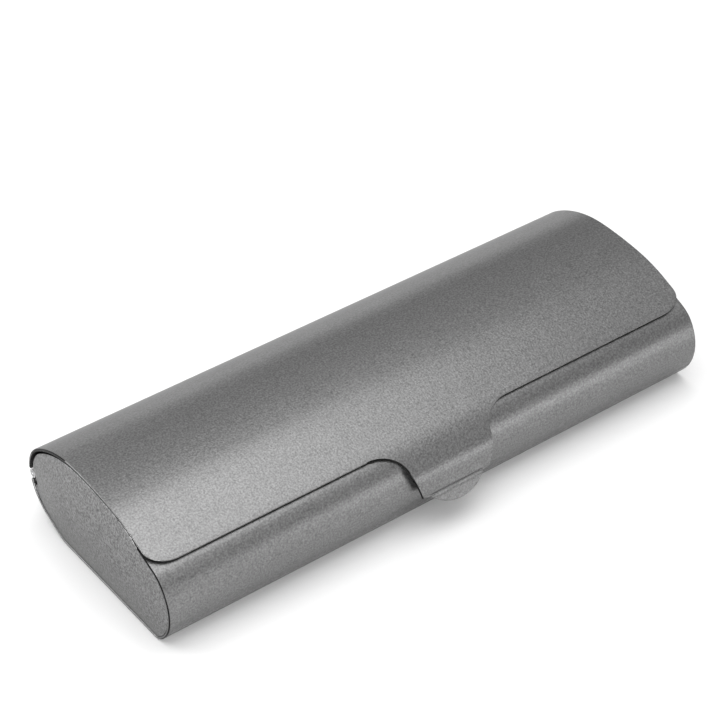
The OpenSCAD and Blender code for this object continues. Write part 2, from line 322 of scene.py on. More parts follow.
def bent_sheet(name, path, loop, thick, edge, grid, holes=(), depth=0.0, relief=None, margin=0.3,
               tint=None):
    """Closed sheet bent along a path: loop is its flat pattern in x and s, anticlockwise.
    Rims are rounded by edge, and are CUT unless tint(x, s, zone) gives other materials: zone 0 is
    the outer corner, 1 the middle, 2 the inner corner. grid holds the points inside the outline.
    relief(x, s) lifts the surface, and depth sinks it."""
    loops = [np.asarray(loop, float)] + [np.asarray(h, float) for h in holes]
    dirs = [outward(lp) if k == 0 else -outward(lp) for k, lp in enumerate(loops)]
    shrunk = [lp - edge * d for lp, d in zip(loops, dirs)]
    flat, tris = fill(shrunk[0], shrunk[1:], grid, margin)

    def place(x, s, d):
        """Points at depth d below the sheet's outer surface."""
        pos, ang = path.at(s)
        lift = relief(x, s) if relief else np.zeros(len(x))
        p = pos + (lift - depth - d)[:, None] * normal(ang)
        return np.concatenate([x[:, None], p], 1)

    def directions(x, s):
        """Unit vectors along x, along s and out of the surface, with the relief."""
        e, z = 0.01, np.zeros(len(x))
        dx = place(x + e, s, z) - place(x - e, s, z)
        _, ang = path.at(s)
        ds = place(x, s + e, z) - place(x, s - e, z)
        if relief is None:
            ds = np.concatenate([np.zeros((len(x), 1)), onward(ang)], 1)
        dx /= np.linalg.norm(dx, axis=1)[:, None]
        ds /= np.linalg.norm(ds, axis=1)[:, None]
        n = np.cross(ds, dx)
        return dx, ds, n / np.linalg.norm(n, axis=1)[:, None]

    x, s = flat[:, 0], flat[:, 1]
    n_flat = len(flat)
    _, _, n = directions(x, s)
    verts = [place(x, s, np.zeros(n_flat)), place(x, s, np.full(n_flat, thick))]
    norms = [n, -n]
    faces = [tuple(t[::-1]) for t in tris] + [tuple(t + n_flat) for t in tris]
    index = [OUTER] * len(tris) + [INNER] * len(tris)
    at, start = 2 * n_flat, 0
    for lp, d in zip(loops, dirs):
        m = len(lp)
        rings = [np.arange(start, start + m)]
        for turn, under in ((45, False), (90, False), (90, True), (45, True)):
            c = math.radians(turn)
            q = lp - edge * (1 - math.sin(c)) * d
            deep = edge * (1 - math.cos(c))
            deep = thick - deep if under else deep
            dx, ds, n = directions(q[:, 0], q[:, 1])
            b = d / np.linalg.norm(d, axis=1)[:, None]
            out = b[:, :1] * dx + b[:, 1:] * ds
            verts.append(place(q[:, 0], q[:, 1], np.full(m, deep)))
            norms.append(math.sin(c) * out + (-1 if under else 1) * math.cos(c) * n)
            rings.append(np.arange(at, at + m))
            at += m
        rings.append(np.arange(start, start + m) + n_flat)
        nxt = np.roll(np.arange(m), -1)
        if start == 0:
            rings = rings[::-1]
        shades = [tint(lp[:, 0], lp[:, 1], zone) if tint else np.full(m, CUT) for zone in range(3)]
        zones = [0, 0, 1, 2, 2][::-1 if start == 0 else 1]
        for zone, r0, r1 in zip(zones, rings, rings[1:]):
            faces += [tuple(q) for q in np.stack([r0, r1, r1[nxt], r0[nxt]], 1)]
            index += list(shades[zone])
        start += m
    return make_object(name, np.concatenate(verts), faces, np.concatenate(norms), index)


def plate(loop, face_x, profile, step, crown=0.0, weight=None):
    """Closed plate square to X, built facing +X. loop is its outline in y and z, anticlockwise.
    profile lists inset, depth, normal angle and material of each ring and what follows it, from
    the face round to the back. weight scales the rounding of the face's edge round the loop."""
    out = outward(loop)
    length = np.linalg.norm(out, axis=1)[:, None]
    first, last = profile[0], profile[-1]
    weight = np.ones(len(loop)) if weight is None else weight
    lo, hi = loop.min(0), loop.max(0)
    grid = lattice(spread(lo[0], hi[0], step), spread(lo[1], hi[1], step))
    front, tris = fill(loop - first[0] * weight[:, None] * out, [], grid, 0.6 * step)
    rear, rear_tris = fill(loop - last[0] * out, [], grid, 0.6 * step)
    m = len(loop)
    height = dome(front, tris, m) * crown
    verts = [np.column_stack([face_x - first[1] + height, front])]
    norms = [face_normals(verts[0], tris)]
    faces = [tuple(t) for t in tris]
    index = [first[3]] * len(tris)
    at = len(front)
    rings = [np.arange(m)]
    for inset, depth, turn, _ in profile[1:-1]:
        c = math.radians(turn)
        scale = weight if turn <= 90 and depth < first[0] + 0.01 else np.ones(m)
        q = loop - inset * scale[:, None] * out
        verts.append(np.column_stack([face_x - depth * scale, q]))
        norms.append(np.column_stack([np.full(m, math.cos(c)), math.sin(c) * out / length]))
        rings.append(np.arange(at, at + m))
        at += m
    verts.append(np.column_stack([np.full(len(rear), face_x - last[1]), rear]))
    norms.append(np.tile([-1.0, 0, 0], (len(rear), 1)))
    rings.append(np.arange(at, at + m))
    faces += [tuple(t[::-1] + at) for t in rear_tris]
    index += [last[3]] * len(rear_tris)
    nxt = np.roll(np.arange(m), -1)
    for ring, r0, r1 in zip(profile, rings, rings[1:]):
        faces += [tuple(q) for q in np.stack([r0, r1, r1[nxt], r0[nxt]], 1)]
        index += [ring[3]] * m
    return np.concatenate(verts), faces, np.concatenate(norms), index


def dome(flat, tris, m):
    """Height from 0 at the first m points to 1, as a membrane blown up over the outline."""
    n = len(flat)
    stiff, load = np.zeros((n, n)), np.zeros(n)
    for i, j, k in ((0, 1, 2), (1, 2, 0), (2, 0, 1)):
        a, b, c = flat[tris[:, i]], flat[tris[:, j]], flat[tris[:, k]]
        u, v = a - c, b - c
        area = np.abs(u[:, 0] * v[:, 1] - u[:, 1] * v[:, 0])
        w = (u * v).sum(1) / area / 2
        np.add.at(stiff, (tris[:, i], tris[:, j]), -w)
        np.add.at(stiff, (tris[:, j], tris[:, i]), -w)
        np.add.at(stiff, (tris[:, i], tris[:, i]), w)
        np.add.at(stiff, (tris[:, j], tris[:, j]), w)
        np.add.at(load, tris[:, k], area / 6)
    h = np.zeros(n)
    h[m:] = np.linalg.solve(stiff[m:, m:], load[m:])
    return h / h.max()


def face_normals(verts, tris):
    """Unit normals at vertices, from the triangles round them."""
    p = verts[tris]
    n = np.cross(p[:, 1] - p[:, 0], p[:, 2] - p[:, 0])
    out = np.zeros(verts.shape)
    for k in range(3):
        np.add.at(out, tris[:, k], n)
    return out / np.maximum(np.linalg.norm(out, axis=1), 1e-12)[:, None]


def mirrored(shape):
    """Shape reflected in the plane x = 0."""
    verts, faces, norms, index = shape
    return verts * [-1, 1, 1], [f[::-1] for f in faces], norms * [-1, 1, 1], index


def lathe(profile, segments=40):
    """Solid of revolution about local Z. profile lists radius, height and normal angle from
    straight up, from the top of the axis to the bottom, or closed where it starts off the axis."""
    closed = profile[0][0] > 0
    turn = 2 * math.pi * np.arange(segments) / segments
    verts, norms, rings = [], [], []
    for r, z, a in profile:
        c = math.radians(a)
        if r == 0:
            rings.append(np.full(segments, len(verts)))
            verts.append((0, 0, z))
            norms.append((0, 0, math.cos(c)))
        else:
            rings.append(np.arange(len(verts), len(verts) + segments))
            verts += [(r * math.cos(t), r * math.sin(t), z) for t in turn]
            norms += [(math.sin(c) * math.cos(t), math.sin(c) * math.sin(t), math.cos(c))
                      for t in turn]
    faces = []
    pairs = list(zip(rings, rings[1:])) + ([(rings[-1], rings[0])] if closed else [])
    for r0, r1 in pairs:
        for i in range(segments):
            j = (i + 1) % segments
            f = [r0[i], r1[i], r1[j], r0[j]]
            faces.append(tuple(dict.fromkeys(f)))
    return np.array(verts, float), faces, np.array(norms, float), [0] * len(faces)


def placed(shape, origin, axis):
    """Shape with its local Z turned to axis and its origin moved."""
    verts, faces, norms, index = shape
    z = np.array(axis, float)
    x = np.array([1.0, 0, 0]) if abs(z[0]) < 0.9 else np.array([0, 1.0, 0])
    y = np.cross(z, x)
    turn = np.stack([x, y, z])
    return verts @ turn + np.array(origin), faces, norms @ turn, index


def merged(name, shapes):
    """One object from several closed shapes."""
    verts, faces, norms, index, at = [], [], [], [], 0
    for v, f, n, i in shapes:
        verts.append(v)
        norms.append(n)
        index += i
        faces += [tuple(int(k) + at for k in face) for face in f]
        at += len(v)
    return make_object(name, np.concatenate(verts), faces, np.concatenate(norms), index)


def lattice(us, vs):
    """Every pair of a value of us and a value of vs."""
    return np.stack(np.meshgrid(us, vs), -1).reshape(-1, 2)


def spread(a, b, step):
    """Even values from a to b, no further apart than step."""
    return np.linspace(a, b, max(2, math.ceil((b - a) / step) + 1))


def eased(t):
    """Smooth rise from 0 to 1."""
    t = np.clip(t, 0, 1)
    return t * t * (3 - 2 * t)


def ridge(d, height, width):
    """Height at distance d from the middle of a pressed ridge, or of a groove where negative."""
    return height * np.exp(-(d / width) ** 2)


# ---------------------------------------------------------------- lid sheet

SLOPE = np.array([-math.cos(math.radians(OUTLINE_A)), -math.sin(math.radians(OUTLINE_A))])


def up_slope(s):
    """Height above the crease, up the mean slope of the tongue, at length s along the lid path."""
    pos, _ = lid_path.at(s)
    end, _ = lid_path.at(np.array([S_CREASE]))
    return -(pos - end[0]) @ SLOPE


def s_for_slope(u):
    """Length along the lid path for a height u up the tongue's mean slope."""
    ss = np.linspace(S_EDGE, S_CREASE, 800)
    return np.interp(u, up_slope(ss)[::-1], ss[::-1])


def tongue_edge():
    """Right-hand outline of the tongue and tab in x and s, from the straight edge down."""
    top = float(up_slope(np.array([S_EDGE]))[0])
    a = np.radians(np.arange(0, 91, 3))
    u = NECK_UP + (top - NECK_UP) * np.cos(a)
    curve = np.stack([ROOT_HALF - NECK_IN * np.sin(a), s_for_slope(u)], 1)
    curve[0, 1] = S_EDGE
    r = (TAB_HALF ** 2 + TAB ** 2) / (2 * TAB)
    b = np.linspace(math.asin(TAB_HALF / r), 0, 22)[1:]
    tab = np.stack([r * np.sin(b), S_CREASE + r * np.cos(b) - (r - TAB)], 1)
    shoulder = np.array([[TONGUE_HALF, S_CREASE - 0.1], [TAB_HALF, S_CREASE]])
    return curve, shoulder, tab


def lid_corner(inset, step):
    """Rounded front corner of the lid in x and s, its end drawn in by inset along the case."""
    a = np.radians(np.arange(0, 91, step))
    run = CORNER_Y / math.cos(math.radians(BROW_A))
    x = HALF - CORNER_X + (CORNER_X - inset) * np.cos(a)
    return np.stack([x, S_EDGE - run + run * np.sin(a)], 1)


def crease_relief(x, s):
    """A fine pressed groove along the crease, with a small ridge where the tab starts."""
    d = s - S_CREASE
    fade = np.clip((TONGUE_HALF + 0.3 - np.abs(x)) / 0.5, 0, 1)
    return fade * (ridge(d + 0.25, -0.32, 0.28) + ridge(d - 0.5, 0.18, 0.3))


def lid_outline():
    """Flat pattern of the lid sheet, with small radii at its rear corners and at the tab."""
    curve, shoulder, tab = tongue_edge()
    corner = lid_corner(0, 6)
    right = np.concatenate([[[HALF, 0.0]], corner, curve, shoulder, tab])
    pts = np.concatenate([right, right[::-1][1:] * [-1, 1]])
    first_shoulder = 1 + len(corner) + len(curve)
    radii = [0.0] * len(pts)
    for i in (0, first_shoulder):
        radii[i] = radii[len(pts) - 1 - i] = SMALL_R
    return resampled(rounded(pts, radii), 1.5)


def lid_rims_cut_and_shade(x, s, zone):
    """Rim materials of the lid sheet: painted shade, a near-black rim that stands in for the shadow
    in the gaps round the lid, but for its outer corner along the front edge and at the fore part of
    both ends, and for a plain cut edge next to the hinge."""
    corner = OUTER if zone == 0 else PAINTED_SHADE
    # Beside the left of the tongue the painted shade takes the outer corner too, for the wider
    # shadow in the gap there.
    tongue_left = (x < -9) & (s > S_EDGE)
    front = np.where(tongue_left, PAINTED_SHADE, corner)
    # Along the ends the painted shade stands in for the shadow in the gap between the lid and the
    # caps.
    near_hinge = PAINTED_SHADE if zone == 2 else CUT
    end = np.where(s < 7.5, near_hinge, np.where(s < 26, PAINTED_SHADE, corner))
    return np.where((np.abs(x) > HALF - 0.5) | (s < 1), end, front)


lid_rows = lid_path.rows(1.0, S_EDGE + 0.5)
tongue_rows = lid_path.rows(S_EDGE + 0.5, S_CREASE - 1.0, sag=0.001, longest=0.5)
crease_rows = np.arange(S_CREASE - 1.1, S_CREASE + 1.5, 0.09)
tab_rows = np.arange(S_CREASE + 1.5, S_CREASE + 3.4, 0.35)
lid_grid = np.concatenate([
    lattice(spread(-HALF + 1.2, HALF - 1.2, 2.5), lid_rows),
    lattice(spread(-ROOT_HALF, ROOT_HALF, 0.8),
            np.concatenate([tongue_rows, crease_rows, tab_rows]))])
lid_sheet = bent_sheet("lid_sheet", lid_path, lid_outline(), SHEET, 0.2, lid_grid,
                       relief=crease_relief, tint=lid_rims_cut_and_shade)
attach(lid_sheet, LID)
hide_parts("lid_shell")


# ---------------------------------------------------------------- body sheet

def s_for_height(z):
    """Length along the body path at height z on the round front wall."""
    ss = np.linspace(S_FLAT, S_FRONT, 600)
    pos, _ = body_path.at(ss)
    return float(np.interp(-z, -pos[:, 1], ss))


S_CATCH, S_MOUTH = s_for_height(CATCH_TOP), s_for_height(CATCH_MOUTH)
S_SLIT = S_MOUTH + CATCH_LIP
S_BEAD = S_FRONT - WALL_R * math.radians(abs(FOLD_A) - BEAD_A)


def body_relief(x, s):
    """A half cone pressed out of the front wall as a catch, widest at its open lower mouth, and
    a faint bead along the foot of the wall."""
    t = np.clip((s - S_CATCH) / (S_MOUTH - S_CATCH), 0, 1)
    h = np.sqrt(np.clip(1 - (x / (CATCH_HALF + CATCH_GROWS * t)) ** 2, 0, 1))
    on = (s >= S_CATCH) & (s <= S_SLIT)
    catch = np.where(on, CATCH_DEPTH * eased(t) * h ** 1.2, 0.0)
    return catch + ridge(s - S_BEAD, BEAD_H, BEAD_W)


def body_outline():
    """Flat pattern of the body sheet, from its wavy front edge to the hinge."""
    xs = spread(-HALF, HALF, 1.0)
    top = np.stack([xs, wave(xs)], 1)
    pts = np.concatenate([top, [[HALF, S_END], [-HALF, S_END]]])
    radii = [0.0] * len(pts)
    radii[0] = radii[len(xs) - 1] = 0.8
    radii[-1] = radii[-2] = SMALL_R
    return resampled(rounded(pts, radii), 1.5)


def wall_rims_cut_and_shade(x, s, zone):
    """Rim materials of the body sheet: painted shade, near-black outer corners down the ends of the
    front wall and the whole rim near its top, standing in for the shadow in the seams beside the
    caps;
    a plain cut edge elsewhere."""
    dark = (zone == 0) | (s < 9)
    return np.where(dark & (np.abs(x) > HALF - 1) & (s > 1) & (s < S_FRONT), PAINTED_SHADE, CUT)


# The catch's mouth is a slit. Finer rows take the place of the plain ones across the bead.
slit = rounded([[-2.0, S_SLIT], [2.0, S_SLIT], [2.0, S_SLIT + 0.5], [-2.0, S_SLIT + 0.5]],
               [0.2] * 4, steps=3)
body_rows = body_path.rows(1.0, S_END - 1.0)
body_rows = body_rows[np.abs(body_rows - S_BEAD) > 0.75]
body_grid = np.concatenate([
    lattice(spread(-HALF + 1.2, HALF - 1.2, 2.5), body_rows),
    lattice(spread(-HALF + 0.6, HALF - 0.6, 2.0), S_BEAD + spread(-0.6, 0.6, 0.1)),
    lattice(spread(-3.1, 3.1, 0.17), np.arange(S_CATCH - 0.6, S_MOUTH + 1.4, 0.17))])
body_sheet = bent_sheet("body_sheet", body_path, body_outline(), SHEET, 0.28, body_grid,
                        holes=[resampled(slit, 0.25)], relief=body_relief, margin=0.12,
                        tint=wall_rims_cut_and_shade)
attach(body_sheet, BODY)
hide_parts("body_shell")


# ---------------------------------------------------------------- end caps and their linings

# CAP_GAP is the room between the caps and the lid. The caps' upper outline starts at CAP_BROW_Y.
CAP_GAP, CAP_BROW_Y = 0.55, -12.6
CAP_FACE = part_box("end_cap_right")[1][0] / MM
CAP_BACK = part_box("end_cap_right")[0][0] / MM
NOTCH_R = 1.35
# A second bite, below the hinge and in front of it.
CUTBACK, CUTBACK_R = np.array([-0.86, -1.73]), 0.85


def sunk(path, rows, depth):
    """Points in y and z at some lengths along a path, sunk below its surface."""
    pos, ang = path.at(rows)
    return pos - depth * normal(ang)


def bitten(loop, centre, r):
    """Anticlockwise polygon with a round bite, centred near its outline, taken out of it."""
    fine = resampled(loop, 0.1)
    gone = np.linalg.norm(fine - centre, axis=1) < r
    first = np.flatnonzero(gone & ~np.roll(gone, 1))[0]
    fine, gone = np.roll(fine, -first, 0), np.roll(gone, -first)
    kept = fine[~gone]
    a0, a1 = (math.atan2(*(p - centre)[::-1]) for p in (kept[-1], kept[0]))
    a1 -= 2 * math.pi if a1 > a0 else 0
    bend = np.linspace(a0, a1, max(4, math.ceil((a0 - a1) / math.radians(15))))
    arc = centre + r * np.stack([np.cos(bend), np.sin(bend)], 1)
    corners = {tuple(p) for p in loop}
    return np.concatenate([[p for p in kept if tuple(p) in corners], arc])


def cap_loop(extra, notch):
    """Outline of an end cap: inside the body sheet, clear of the lid, notched at the hinge."""
    bottom = sunk(body_path, body_path.rows(1.6, S_END, sag=0.006, longest=2.5),
                  SHEET + FIT + extra)
    over = sunk(lid_path, lid_path.rows(0.0, S_EDGE - LID_FLAT, sag=0.006, longest=2.5),
                SHEET + CAP_GAP + extra)
    loop = np.concatenate([bottom, over[over[:, 0] > CAP_BROW_Y]])
    return bitten(loop, AXIS, notch)


def fillet(r, n):
    """Rings of a rounded edge, from the face round to the side, in material 1 once it has turned
    more than 40 degrees. On a cap, material 1 is painted shade, standing in for the shadow in the
    gap round it."""
    out = []
    for k in range(n + 1):
        t = 90 * k / n
        c = math.radians(t)
        out.append((r * (1 - math.sin(c)), r * (1 - math.cos(c)), t, int(t > 40)))
    return out


# A cap is 0.6 thick, with a skirt 2 deep that its rounded edge turns back into.
# The turned part of the cap's edge and the outer side of its skirt are painted shade (material 1):
# a near-black band for the shadow in the gap round the cap.
CAP_RINGS = fillet(0.55, 6) + [
    (0, 1.85, 90, 1), (0.044, 1.956, 135, 0), (0.15, 2.0, 180, 0), (0.45, 2.0, 180, 0),
    (0.556, 1.956, 225, 0), (0.6, 1.85, 270, 0), (0.6, 0.9, 270, 0), (0.69, 0.69, 225, 0),
    (0.9, 0.6, 180, 0)]
BOARD = CAP_FACE - SHEET - FIT - CAP_BACK
BOARD_RINGS = fillet(0.35, 3) + [
    (0, BOARD - 0.35, 90, 0), (0.1, BOARD - 0.1, 135, 0), (0.35, BOARD, 180, 0)]

# The face's edge is nearly sharp along the floor and fully rounded higher up.
cap_edge = bitten(cap_loop(0.0, NOTCH_R), AXIS + CUTBACK, CUTBACK_R)
sharp = 0.2 + 0.8 * np.clip((cap_edge[:, 1] - 2.5) / 3, 0, 1)
cap = plate(cap_edge, CAP_FACE, CAP_RINGS, 1.3, crown=1.2, weight=sharp)
board = plate(cap_loop(SHEET + FIT, NOTCH_R + SHEET + FIT), CAP_BACK + BOARD, BOARD_RINGS, 2.5)
sides = (("right", cap, board), ("left", mirrored(cap), mirrored(board)))
for side, cap_shape, board_shape in sides:
    end_cap = merged("pressed_cap_" + side, [cap_shape])
    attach(end_cap, BODY)
    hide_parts("end_cap_" + side)
    end_flock = merged("flocked_end_" + side, [board_shape])
    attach(end_flock, BODY)
    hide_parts(side + "_end_lining")
    CAP_PIECES.append(end_cap)
    FLOCK_PIECES.append(end_flock)


# ---------------------------------------------------------------- flocked linings

BOARD_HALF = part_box("floor_lining")[1][0] / MM
FILM_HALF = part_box("lid_lining")[1][0] / MM
LEAF_T = 0.5
LEAF_STEP = LEAF_T + 0.55
LID_LEAF_A, BODY_LEAF_A = 46, 146
BOARD_T, FILM_T = 1.0, 0.15
# The flock steps in over a hinge leaf, from STEP_AHEAD before its edge, over STEP_RUN.
STEP_AHEAD, STEP_RUN = 1.8, 1.7


def strip(half, s0, s1, r=0.8):
    """Flat rectangle with rounded corners, in x and s."""
    return resampled(rounded([[-half, s0], [half, s0], [half, s1], [-half, s1]], [r] * 4), 2.0)


def lined(name, loop, rows, node, relief=None):
    """Flocked board lying inside the body sheet."""
    grid = lattice(spread(-BOARD_HALF + 1, BOARD_HALF - 1, 2.5), rows)
    piece = bent_sheet(name, body_path, loop, BOARD_T, 0.35, grid, depth=SHEET + FIT,
                       relief=relief)
    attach(piece, BODY)
    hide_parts(node)
    FLOCK_PIECES.append(piece)


S_LEAF_LOW = S_WALL + REAR_R * math.radians(REAR_A - BODY_LEAF_A)
S_LEAF_HIGH = REAR_R * math.radians(LID_END_A - LID_LEAF_A)
along = spread(-BOARD_HALF, BOARD_HALF, 1.5)
front_loop = np.concatenate([np.stack([along, wave(along) + 1.5], 1),
                             [[BOARD_HALF, S_FOLD], [-BOARD_HALF, S_FOLD]]])
lined("flocked_front", resampled(front_loop, 2.0),
      body_path.rows(1.0, S_FOLD - 0.3, longest=2.5), "front_lining")
lined("flocked_floor", strip(BOARD_HALF, S_FOLD + 0.1, S_FLOOR - 0.1),
      np.arange(S_FOLD + 1.5, S_FLOOR - 1, 2.5), "floor_lining")
lined("flocked_back", strip(BOARD_HALF, S_FLOOR, S_END - 0.8),
      body_path.rows(S_FLOOR + 0.4, S_END - 1.2, longest=0.5), "back_lining",
      relief=lambda x, s: -LEAF_STEP * eased((s - S_LEAF_LOW + STEP_AHEAD) / STEP_RUN))


def film_outline():
    """Outline of the lid's flock: the lid's own, drawn in, without the finger tab."""
    curve, shoulder, _ = tongue_edge()
    right = np.concatenate([
        [[HALF - 2.0, 0.2]], lid_corner(2, 10), curve[::2], shoulder[:1] - [0, 0.3]])
    loop = np.concatenate([right, right[::-1] * [-1, 1]])
    return resampled(loop - 0.55 * outward(loop), 2.0)


film_grid = np.concatenate([
    lattice(spread(-FILM_HALF + 1, FILM_HALF - 1, 2.5),
            lid_path.rows(1.0, S_EDGE - 1.5, longest=0.8)),
    lattice(spread(-19, 19, 1.2), lid_path.rows(S_EDGE - 0.5, S_CREASE - 1.2, longest=0.8))])
lid_flock = bent_sheet(
    "flocked_lid", lid_path, film_outline(), FILM_T, 0.07, film_grid, depth=SHEET + FIT,
    relief=lambda x, s: -LEAF_STEP * eased((S_LEAF_HIGH + STEP_AHEAD - s) / STEP_RUN))
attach(lid_flock, LID)
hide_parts("lid_lining", "tongue_lining")
FLOCK_PIECES.append(lid_flock)


# ---------------------------------------------------------------- hinge and rivets

KNUCKLE_R, BORE_R, PIN_R, PIN_OUT = 1.2, 0.65, 0.6, 0.2
BARREL_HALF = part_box("hinge_pin")[1][0] / MM - PIN_OUT
LID_LEAF_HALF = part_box("lid_hinge_leaf")[1][0] / MM
KNUCKLES, KNUCKLE_GAP, KNUCKLE_EDGE = 9, 0.3, 0.14
PITCH = 2 * BARREL_HALF / KNUCKLES
RIVETS, RIVET_IN, RIVET_HOLE_R = 4, 14, 0.85
LID_RIVET_A, BODY_RIVET_A = 64, 127
RIVET_X = [2 * (HALF - RIVET_IN) * (k / (RIVETS - 1) - 0.5) for k in range(RIVETS)]
LEAF_R = REAR_R - SHEET - FIT
# A leaf joins each of its knuckles by a root, narrower by ROOT_IN at each side.
ROOT_RUN, ROOT_IN = 0.55, 0.3


def knuckle_span(i):
    """Both ends of a knuckle along the case, with half a gap to each of its neighbours."""
    x0 = -BARREL_HALF + i * PITCH + (KNUCKLE_GAP / 2 if i else 0)
    x1 = -BARREL_HALF + (i + 1) * PITCH - (KNUCKLE_GAP / 2 if i < KNUCKLES - 1 else 0)
    return x0, x1


def tube(half, r, bore, edge):
    """Rings of a tube with rounded ends, its middle at the origin."""
    out, e = [], edge
    for sign, turns in ((1, (0, 45, 90)), (-1, (90, 135, 180))):
        for t in turns:
            c, s = math.cos(math.radians(t)), math.sin(math.radians(t))
            out.append((r - e + e * s, sign * (half - e) + e * c, t))
    for sign, turns in ((-1, (180, 225, 270)), (1, (270, 315, 360))):
        for t in turns:
            c, s = math.cos(math.radians(t)), math.sin(math.radians(t))
            out.append((bore + e / 2 + e / 2 * s, sign * (half - e / 2) + e / 2 * c, t))
    return out


def leaf_loop(half, odd, s1):
    """Leaf outline in x and s: a root below s = ROOT_RUN at each of its knuckles."""
    pts = [[-half, ROOT_RUN]]
    for i in range(odd, KNUCKLES, 2):
        x0, x1 = knuckle_span(i)
        x0, x1 = max(x0 + ROOT_IN, -half), min(x1 - ROOT_IN, half)
        pts += ([] if x0 == -half else [[x0, ROOT_RUN]]) + [[x0, 0], [x1, 0]]
        pts += [] if x1 == half else [[x1, ROOT_RUN]]
    if pts[1][0] == -half:
        pts = pts[1:]
    if pts[-1][0] != half:
        pts.append([half, ROOT_RUN])
    pts += [[half, s1], [-half, s1]]
    return np.array(pts, float)


def circle(x, s, r, n=20):
    """Round hole in a flat pattern."""
    a = 2 * np.pi * np.arange(n) / n
    return np.stack([x + r * np.cos(a), s + r * np.sin(a)], 1)


def hinge_half(name, start_a, end_a, rivet_a, half, odd, node, body):
    """Leaf with its rolled knuckles. The leaf runs from the barrel out to end_a."""
    upward = end_a < start_a
    if upward:
        base = REAR_C + LEAF_R * normal(start_a)
        path = Path(base - ROOT_RUN * onward(start_a), start_a).line(ROOT_RUN).arc(LEAF_R, end_a)
        where = ROOT_RUN + LEAF_R * math.radians(start_a - rivet_a)
    else:
        path = Path(REAR_C + LEAF_R * normal(end_a), end_a).arc(LEAF_R, start_a).line(ROOT_RUN)
        where = LEAF_R * math.radians(end_a - rivet_a)
    length = path.marks[-1]
    loop = leaf_loop(half, odd, length)
    if not upward:
        loop = (loop * [1, -1] + [0, length])[::-1]
    holes = [circle(x, where, RIVET_HOLE_R) for x in RIVET_X]
    rows = path.rows(1.0, length - 1.0, longest=1.2)
    leaf = bent_sheet(name, path, resampled(loop, 2.0), LEAF_T, 0.1,
                      lattice(spread(-half + 1, half - 1, 2.5), rows), holes=holes, margin=0.35)
    tubes = []
    for i in range(odd, KNUCKLES, 2):
        x0, x1 = knuckle_span(i)
        tubes.append(placed(lathe(tube((x1 - x0) / 2, KNUCKLE_R, BORE_R, KNUCKLE_EDGE)),
                            [(x0 + x1) / 2, *AXIS], [1, 0, 0]))
    barrel = merged(name + "_knuckles", tubes)
    for piece in (leaf, barrel):
        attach(piece, body)
        STEEL_PIECES.append(piece)
    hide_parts(node)


hinge_half("lid_leaf", LID_END_A, LID_LEAF_A, LID_RIVET_A, LID_LEAF_HALF, 1,
           "lid_hinge_leaf", LID)
hinge_half("body_leaf", BODY_END_A, BODY_LEAF_A, BODY_RIVET_A, BOARD_HALF, 0,
           "body_hinge_leaf", BODY)

PIN_END = BARREL_HALF + PIN_OUT
pin_half = [(0, PIN_END, 0), (0.3, PIN_END - 0.03, 14), (0.5, PIN_END - 0.12, 45),
            (PIN_R, PIN_END - 0.3, 90)]
pin_rings = pin_half + [(r, -z, 180 - a) for r, z, a in pin_half[::-1]]
pin = merged("drawn_pin", [placed(lathe(pin_rings, 32), [0, *AXIS], [1, 0, 0])])
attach(pin, BODY)
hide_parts("hinge_pin")
STEEL_PIECES.append(pin)

# A rivet has a low domed head, a shank through sheet and leaf, and a flat tail.
HEAD_R, HEAD_H, SHANK_R = 1.5, 0.5, 0.8
rivet_rings = [(0, HEAD_H, 0)]
for b in range(80, -1, -10):
    c, s = math.cos(math.radians(b)), math.sin(math.radians(b))
    rivet_rings.append((HEAD_R * c, HEAD_H * s, math.degrees(math.atan2(HEAD_H * c, HEAD_R * s))))
TAIL = -SHEET - LEAF_T - FIT - 0.1
rivet_rings += [
    (HEAD_R, -0.09, 90), (1.44, -0.12, 180), (SHANK_R, -0.12, 180), (SHANK_R, -0.2, 90),
    (SHANK_R, TAIL, 90), (0.85, TAIL, 0), (1.25, TAIL, 0), (1.3, TAIL - 0.05, 90),
    (1.3, TAIL - 0.28, 90), (1.22, TAIL - 0.35, 180), (0, TAIL - 0.35, 180)]
for who, a, body in (("lid", LID_RIVET_A, LID), ("body", BODY_RIVET_A, BODY)):
    row = [placed(lathe(rivet_rings, 36), [x, *(REAR_C + REAR_R * normal(a))], [0, *normal(a)])
           for x in RIVET_X]
    rivets = merged(who + "_domed_rivets", row)
    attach(rivets, body)
    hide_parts(who + "_rivets")
    STEEL_PIECES.append(rivets)


# ---------------------------------------------------------------- materials

def nodes_of(name):
    """New material with its node tree and shader."""
    mat = bpy.data.materials.new(name)
    mat.use_nodes = True
    tree = mat.node_tree
    return mat, tree, tree.nodes["Principled BSDF"]


def add(tree, kind, **values):
    """New node, with input values or settings by name."""
    node = tree.nodes.new(kind)
    for key, value in values.items():
        if key in node.inputs:
            node.inputs[key].default_value = value
        else:
            setattr(node, key, value)
    return node


